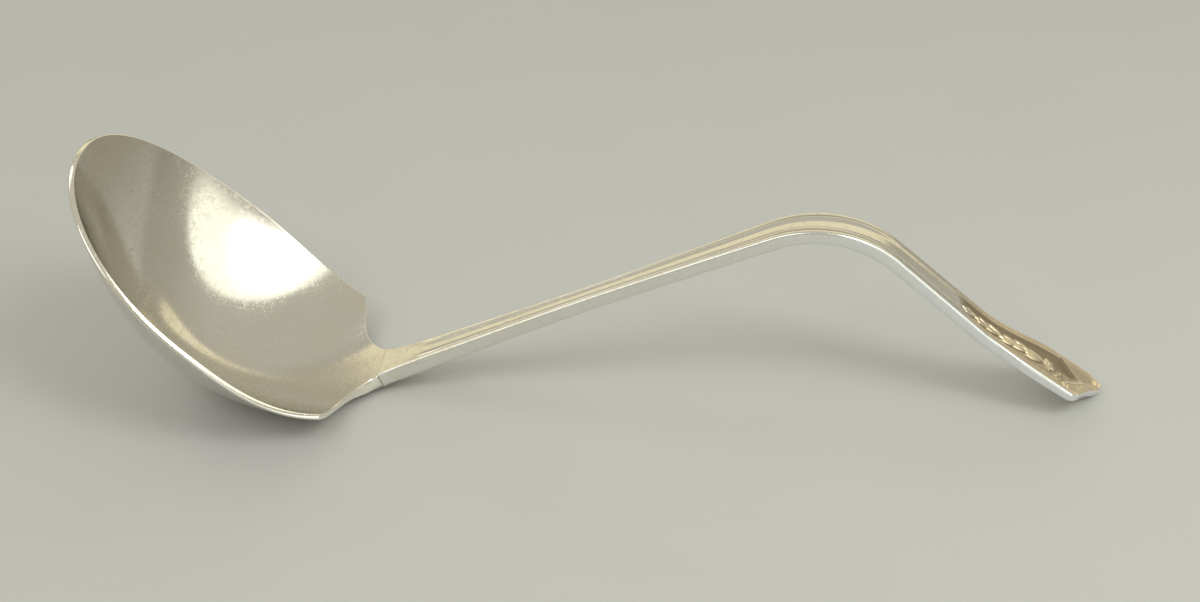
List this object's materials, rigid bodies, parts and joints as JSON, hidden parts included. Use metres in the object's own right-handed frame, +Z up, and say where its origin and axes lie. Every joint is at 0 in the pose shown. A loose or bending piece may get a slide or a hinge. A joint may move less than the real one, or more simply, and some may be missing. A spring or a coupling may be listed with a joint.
{
  "type": "sauce ladle",
  "caption": "Silver sauce ladle with a shouldered oval bowl, a slim stem bent down near its end and a widened struck end with a thread border and floral strip.",
  "frame": {"origin": "middle of the box around the ladle, at the height of the table it lies on", "axes": "+X from the bowl's tip towards the handle's end, +Y across to the far side, +Z up from the table"},
  "size_m": [0.1751, 0.0528, 0.0447],
  "materials": {
    "bowl_silver": "polished silver, worn bright, with fine scratches and a warm tarnish",
    "handle_silver": "polished silver, pale on the sides, golden tarnish in the struck ornament",
    "solder": "dull grey silver solder"
  },
  "bodies": {
    "root": {"bowl": "bowl_silver", "handle": "handle_silver", "neck_solder": "solder"}
  },
  "joints": []
}
